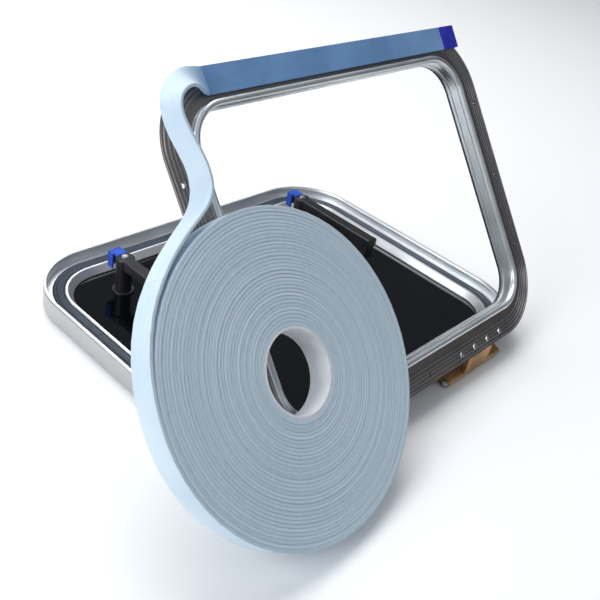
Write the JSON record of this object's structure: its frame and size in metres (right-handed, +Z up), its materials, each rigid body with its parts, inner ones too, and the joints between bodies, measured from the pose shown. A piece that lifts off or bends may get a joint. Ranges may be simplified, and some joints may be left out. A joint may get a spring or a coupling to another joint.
{
  "type": "hinged deck hatch with tape roll",
  "caption": "Acrylic-glazed aluminium hatch with lock levers, its base frame hinged up from the lid, and a leaning roll of foam sealing tape being laid on the frame's flange.",
  "frame": {"origin": "middle of the acrylic pane's outer face, which lies on the floor", "axes": "+Z up, +X along the hinge towards the side away from the tape roll, +Y from the hinge side to the lock side"},
  "size_m": [0.5999, 0.4886, 0.3318],
  "materials": {
    "rim_metal": "satin mill finish",
    "frame_metal": "satin, bright on the lip",
    "black_acrylic": "mirror gloss",
    "dark_rubber": "matt",
    "bronze_leaf": "dull bronze",
    "steel": "satin",
    "lever_metal": "satin",
    "black_plastic": "fine grain",
    "blue_plastic": "moulded",
    "foam_tape": "matt closed-cell foam",
    "laid_tape": "matt closed-cell foam with a film",
    "blue_film": "smooth film",
    "core_board": "smooth board"
  },
  "bodies": {
    "lid": {"lid_rim": "rim_metal", "acrylic_pane": "black_acrylic", "glazing_seal": "dark_rubber", "rim_gasket": "dark_rubber", "lid_hinge_leaf_left": "bronze_leaf", "lid_hinge_leaf_right": "bronze_leaf", "hinge_pin_left": "steel", "hinge_pin_right": "steel", "lid_leaf_screws": "steel", "lever_bush_left": "lever_metal", "lever_bush_right": "lever_metal", "spindle_seal_left": "dark_rubber", "spindle_seal_right": "dark_rubber", "outer_disc_left": "black_plastic", "outer_disc_right": "black_plastic"},
    "base_frame": {"frame_ring": "frame_metal", "coaming_seal": "dark_rubber", "frame_hinge_leaf_left": "bronze_leaf", "frame_hinge_leaf_right": "bronze_leaf", "frame_leaf_screws": "steel", "tape_strip": "laid_tape", "tape_end_tab": "blue_film", "tape_lead": "foam_tape"},
    "left_lever": {"lock_lever_left": "black_plastic", "lever_spindle_left": "steel", "lever_cap_left": "blue_plastic", "lever_screw_left": "steel"},
    "right_lever": {"lock_lever_right": "black_plastic", "lever_spindle_right": "steel", "lever_cap_right": "blue_plastic", "lever_screw_right": "steel"},
    "roll": {"tape_roll": "foam_tape", "roll_core": "core_board"}
  },
  "joints": [
    {"name": "frame_hinge", "type": "hinge", "parent": "lid", "child": "base_frame", "pos_m": [0, -0.2102, 0.0055], "axis": [1, 0, 0], "range_deg": [-43.5, 0], "deforming": ["tape_lead"]},
    {"name": "left_lever_turn", "type": "hinge", "parent": "lid", "child": "left_lever", "pos_m": [-0.149, 0.1264, 0.0424], "axis": [0, 0, 1], "range_deg": [0, 90]},
    {"name": "right_lever_turn", "type": "hinge", "parent": "lid", "child": "right_lever", "pos_m": [0.149, 0.1264, 0.0424], "axis": [0, 0, 1], "range_deg": [-90, 0]},
    {"name": "roll_turn", "type": "hinge", "parent": "lid", "child": "roll", "pos_m": [-0.20439, -0.18058, 0.1222], "axis": [0.0608, -0.7557, 0.6521], "continuous": true}
  ]
}
